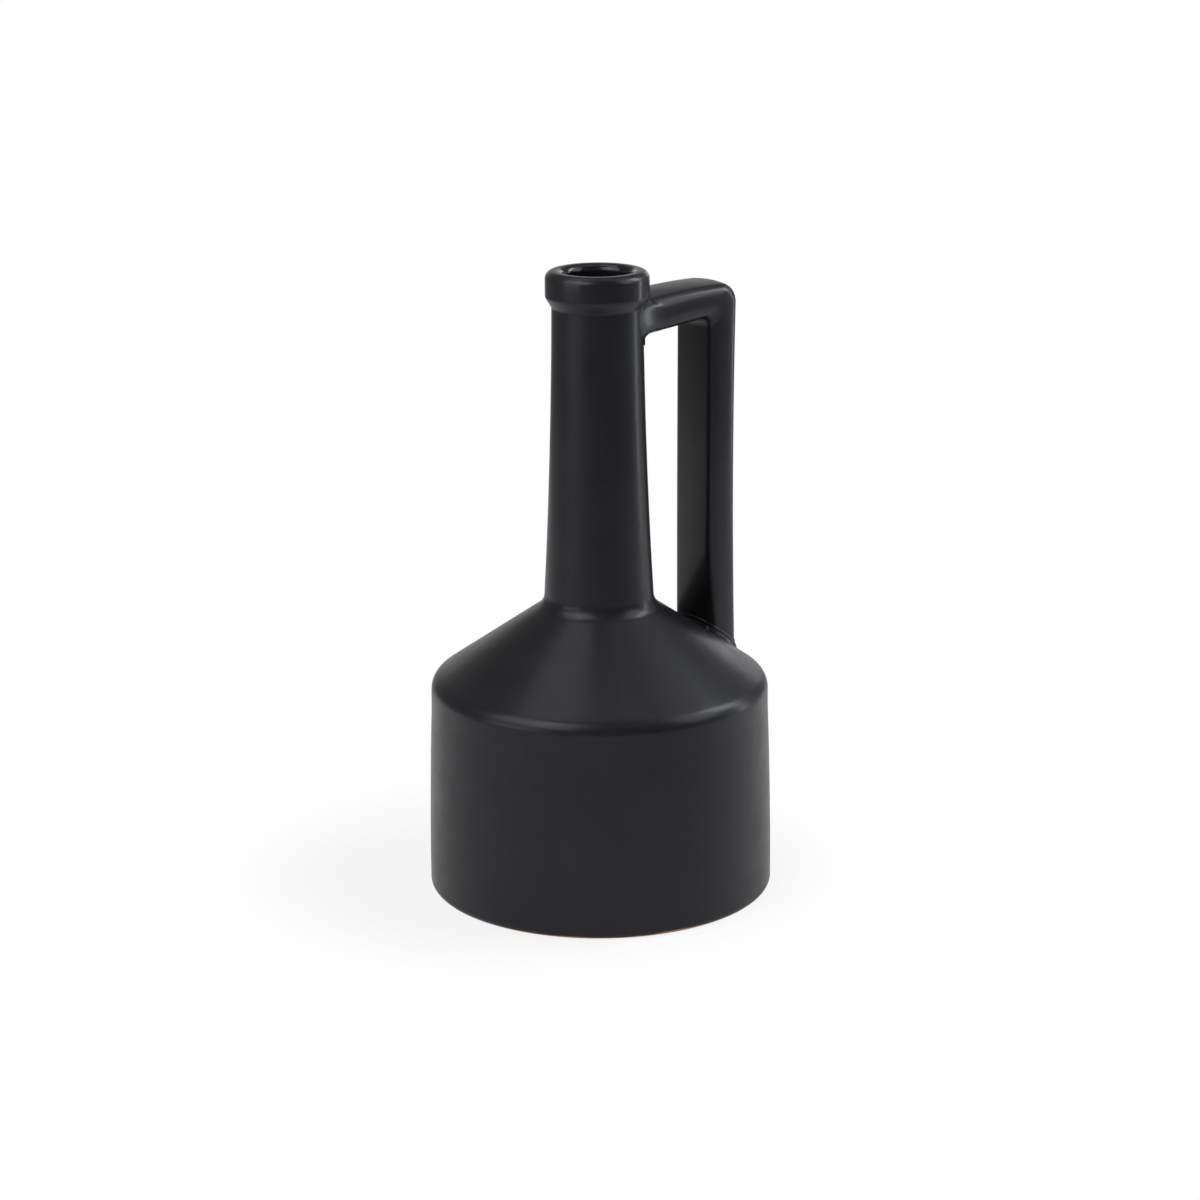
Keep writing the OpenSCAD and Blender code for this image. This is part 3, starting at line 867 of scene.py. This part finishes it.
def photo_camera():
    data = bpy.data.cameras.new("photo_camera")
    data.sensor_fit = "HORIZONTAL"
    data.sensor_width = SENSOR
    data.lens = SENSOR * FOCAL_PX / FRAME_PX
    camera = bpy.data.objects.new("photo_camera", data)
    bpy.context.scene.collection.objects.link(camera)
    place = Matrix.Translation(Vector((CAMERA_ASIDE, -CAMERA_DISTANCE, CAMERA_HEIGHT)) * MM)
    tilt = Matrix.Rotation(math.pi / 2 - CAMERA_PITCH, 4, "X")
    camera.matrix_world = TO_PART @ place @ tilt @ Matrix.Rotation(CAMERA_ROLL, 4, "Z")
    bpy.context.scene.camera = camera


# The studio
def softbox(name, azimuth, elevation, distance, size, radiance, colour):
    """A flat lamp that faces the vase. Azimuth 0 is at the camera, 90 at its right."""
    a, e = math.radians(azimuth), math.radians(elevation)
    data = bpy.data.lights.new(name, "AREA")
    data.shape = "RECTANGLE"
    data.size, data.size_y = size
    data.energy = radiance * math.pi * size[0] * size[1]
    data.color = colour
    lamp = bpy.data.objects.new(name, data)
    bpy.context.scene.collection.objects.link(lamp)
    middle = Vector((0, 0, RIM_Z / 2 * MM))
    away = Vector((math.sin(a) * math.cos(e), -math.cos(a) * math.cos(e), math.sin(e)))
    lamp.location = middle + TO_PART @ (away * distance)
    lamp.rotation_mode = "QUATERNION"
    lamp.rotation_quaternion = (lamp.location - middle).to_track_quat("Z", "Y")


def light_rays(nodes, links, *names):
    """1 for rays of the named kinds, otherwise 0."""
    path = nodes.new("ShaderNodeLightPath")
    total = path.outputs[names[0]]
    for name in names[1:]:
        total = math_node(nodes, links, "MAXIMUM", total, path.outputs[name])
    return total


# The world: its light on dull surfaces, and what glossy ones see of the room and the backdrop
AMBIENT = 0.1
STUDIO_DIM = 0.21
BACKDROP = 0.75

# Where the backdrop begins at its sides and ends at its top, as parts of a ray's direction
BACKDROP_SIDES = (0.80, 0.95)
BACKDROP_TOP = (0.24, 0.42)


def studio_world():
    """White to the camera and through glass. Glossy rays see a dim room with a pale backdrop."""
    world = bpy.data.worlds.new("studio")
    bpy.context.scene.world = world
    world.use_nodes = True
    nodes, links = world.node_tree.nodes, world.node_tree.links
    nodes.clear()
    output = nodes.new("ShaderNodeOutputWorld")
    background = nodes.new("ShaderNodeBackground")
    background.inputs["Color"].default_value = (1, 1, 1, 1)
    links.new(background.outputs[0], output.inputs[0])
    heading = nodes.new("ShaderNodeTexCoord").outputs["Generated"]
    away = nodes.new("ShaderNodeVectorMath")
    away.operation = "DOT_PRODUCT"
    links.new(heading, away.inputs[0])
    away.inputs[1].default_value = from_camera_side(0, 1, 0)
    split = nodes.new("ShaderNodeSeparateXYZ")
    links.new(heading, split.inputs[0])
    behind = ranged(nodes, links, away.outputs["Value"], BACKDROP_SIDES)
    low = ranged(nodes, links, split.outputs["Z"], BACKDROP_TOP, (BACKDROP, 0))
    backdrop = math_node(nodes, links, "MULTIPLY", behind, low)
    studio = math_node(nodes, links, "MAXIMUM", backdrop, STUDIO_DIM)
    seen = light_rays(nodes, links, "Is Camera Ray", "Is Transmission Ray")
    shiny = light_rays(nodes, links, "Is Glossy Ray")
    lit = nodes.new("ShaderNodeMix")
    lit.inputs["A"].default_value = AMBIENT
    links.new(shiny, lit.inputs["Factor"])
    links.new(studio, lit.inputs["B"])
    strength = math_node(nodes, links, "MAXIMUM", seen, lit.outputs["Result"])
    links.new(strength, background.inputs["Strength"])


# The paper floor, in metres, and the ring round the shadow where it fades into the white
FLOOR_R = 0.9
FLOOR_SIDES = 96
SHADOW_MIDDLE = from_camera_side(-0.03, 0.015, 0)
FADE = (0.085, 0.155)

# How white it is, and how far it is lifted towards white for the camera and for glossy rays
PAPER = 0.88
LIFT = 0.8
SHINY_LIFT = 0.45


def paper_material():
    """White paper that keeps the shadow and fades into the white behind it for the camera."""
    material, nodes, links = empty_material("paper")
    output = nodes.new("ShaderNodeOutputMaterial")
    paper = nodes.new("ShaderNodeBsdfDiffuse")
    paper.inputs["Color"].default_value = (PAPER, PAPER, PAPER, 1)
    white = nodes.new("ShaderNodeEmission")
    lifted = nodes.new("ShaderNodeMixShader")
    seen = light_rays(nodes, links, "Is Camera Ray", "Is Transmission Ray")
    shiny = light_rays(nodes, links, "Is Glossy Ray")
    shiny_lift = math_node(nodes, links, "MULTIPLY", shiny, SHINY_LIFT)
    seen_lift = math_node(nodes, links, "MULTIPLY", seen, LIFT)
    links.new(math_node(nodes, links, "MAXIMUM", seen_lift, shiny_lift), lifted.inputs[0])
    links.new(paper.outputs[0], lifted.inputs[1])
    links.new(white.outputs[0], lifted.inputs[2])
    distance = nodes.new("ShaderNodeVectorMath")
    distance.operation = "DISTANCE"
    links.new(object_place(nodes), distance.inputs[0])
    distance.inputs[1].default_value = SHADOW_MIDDLE
    fade = ranged(nodes, links, distance.outputs["Value"], FADE)
    camera_rays = light_rays(nodes, links, "Is Camera Ray")
    faded = nodes.new("ShaderNodeMixShader")
    links.new(math_node(nodes, links, "MULTIPLY", fade, camera_rays), faded.inputs[0])
    links.new(lifted.outputs[0], faded.inputs[1])
    links.new(nodes.new("ShaderNodeBsdfTransparent").outputs[0], faded.inputs[2])
    links.new(faded.outputs[0], output.inputs[0])
    return material


def paper_floor():
    angles = np.linspace(0, 2 * math.pi, FLOOR_SIDES, endpoint=False)
    rim = [(FLOOR_R * math.cos(a), FLOOR_R * math.sin(a), 0) for a in angles]
    mesh = bpy.data.meshes.new("paper_floor")
    mesh.from_pydata(rim, [], [tuple(range(len(rim)))])
    mesh.materials.append(paper_material())
    floor = bpy.data.objects.new("paper_floor", mesh)
    bpy.context.scene.collection.objects.link(floor)


WHITE = (1, 1, 1)
COOL = (0.95, 0.97, 1)

# Name, azimuth and elevation in degrees, distance, width and height in metres, radiance, colour
SOFTBOXES = (
    ("right_box", 107, 37, 1.3, (0.42, 0.56), 7.5, COOL),
    ("right_high_box", 84, 53, 1.3, (0.5, 0.35), 1.5, COOL),
    ("right_strip", 109, 6, 1.3, (0.18, 0.8), 5.4, COOL),
    ("right_front_box", 75, 31, 1.3, (0.6, 0.7), 2.4, WHITE),
    ("back_right_box", 158, 12, 1.3, (0.4, 0.3), 1.1, COOL),
    ("left_front_box", -35, 42, 1.3, (0.6, 0.9), 2.8, WHITE),
    ("left_box", -65, 42, 1.3, (0.8, 0.9), 2.5, WHITE),
    ("left_low_box", -58, 6, 1.3, (0.9, 0.4), 2.1, WHITE),
    ("top_left_box", -115, 72, 1.2, (0.5, 0.5), 1.6, WHITE),
    ("top_right_box", 118, 68, 1.2, (0.5, 0.6), 0.6, WHITE),
    ("top_box", 180, 86, 1.2, (0.5, 0.4), 0.5, WHITE),
)

photo_camera()
studio_world()
paper_floor()
for row in SOFTBOXES:
    softbox(*row)
bpy.context.scene.view_settings.view_transform = "Standard"
